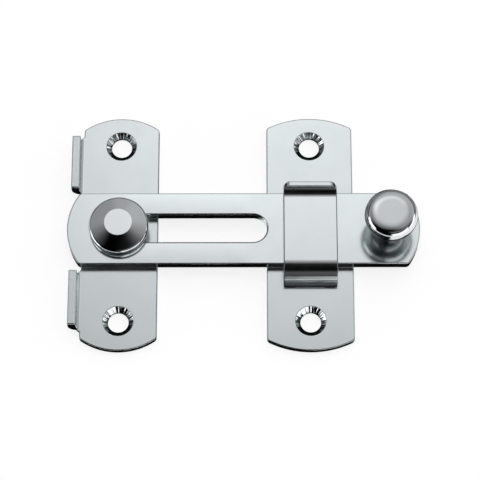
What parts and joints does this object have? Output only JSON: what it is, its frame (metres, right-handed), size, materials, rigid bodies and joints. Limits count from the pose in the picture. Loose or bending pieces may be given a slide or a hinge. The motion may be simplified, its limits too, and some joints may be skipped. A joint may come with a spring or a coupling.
{
  "type": "door latch",
  "caption": "Steel bar latch: a slotted bar pivots and slides on a round-headed post and drops into an open hook keeper; pull knob at the bar's end.",
  "frame": {"origin": "on the pivot post's axis, in the plane of the two plates' backs, which is the door's face", "axes": "+X along the shut bar towards the knob, +Y up the door towards the hook's open side, +Z out from the door"},
  "size_m": [0.0872, 0.061, 0.017],
  "materials": {
    "plate_steel": "satin polished stainless steel",
    "bar_steel": "polished stainless steel, faint grinding grain along the bar",
    "hook_steel": "polished stainless steel",
    "turned_steel": "turned and mirror polished stainless steel",
    "washer_steel": "plain spring steel"
  },
  "bodies": {
    "plates": {"latch_plate": "plate_steel", "pivot_post": "turned_steel", "keeper_plate": "plate_steel", "keeper_hook": "hook_steel"},
    "washer": {"friction_washer": "washer_steel"},
    "bar": {"latch_bar": "bar_steel", "knob": "turned_steel"}
  },
  "joints": [
    {"name": "bar_swing", "type": "hinge", "parent": "plates", "child": "washer", "pos_m": [0, 0, 0], "axis": [0, 0, 1], "range_deg": [0, 90]},
    {"name": "bar_slide", "type": "slide", "parent": "washer", "child": "bar", "axis": [-1, 0, 0], "range_m": [0, 0.0087]}
  ]
}
